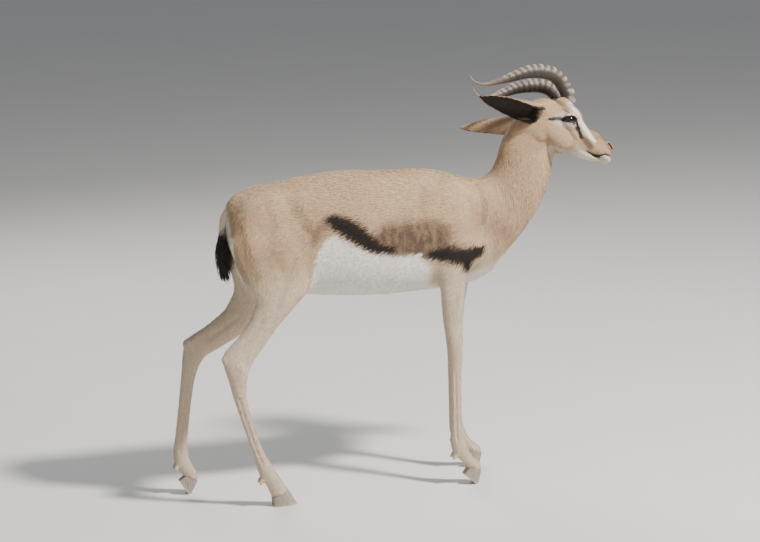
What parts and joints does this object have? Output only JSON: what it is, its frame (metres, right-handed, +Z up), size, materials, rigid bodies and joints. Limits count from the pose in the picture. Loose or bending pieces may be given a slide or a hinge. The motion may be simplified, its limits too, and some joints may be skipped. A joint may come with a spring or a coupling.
{
  "type": "gazelle model",
  "caption": "Life-size still model of an adult male Speke's gazelle, standing in mid-stride with raised head and ringed horns.",
  "frame": {"origin": "on the floor, under the middle of the whole animal's box", "axes": "+X towards the head, +Y to the animal's left, +Z up"},
  "size_m": [0.8468, 0.1896, 0.7761],
  "materials": {
    "coat": "short fawn hair with white belly, rump and legs and a dark flank band",
    "horn": "dark ringed horn with smooth tips",
    "hoof": "dark satin hoof horn",
    "eye": "dark glossy eye",
    "tail_hair": "long black hair in locks"
  },
  "bodies": {
    "root": {"torso": "coat", "neck": "coat", "head": "coat", "leg_fore_right": "coat", "leg_fore_left": "coat", "leg_hind_right": "coat", "leg_hind_left": "coat", "ear_right": "coat", "ear_left": "coat", "horn_right": "horn", "horn_left": "horn", "hoof_fore_right_right_claw": "hoof", "hoof_fore_right_left_claw": "hoof", "hoof_fore_left_right_claw": "hoof", "hoof_fore_left_left_claw": "hoof", "hoof_hind_right_right_claw": "hoof", "hoof_hind_right_left_claw": "hoof", "hoof_hind_left_right_claw": "hoof", "hoof_hind_left_left_claw": "hoof", "eye_right": "eye", "eye_left": "eye", "tail": "tail_hair"}
  },
  "joints": []
}
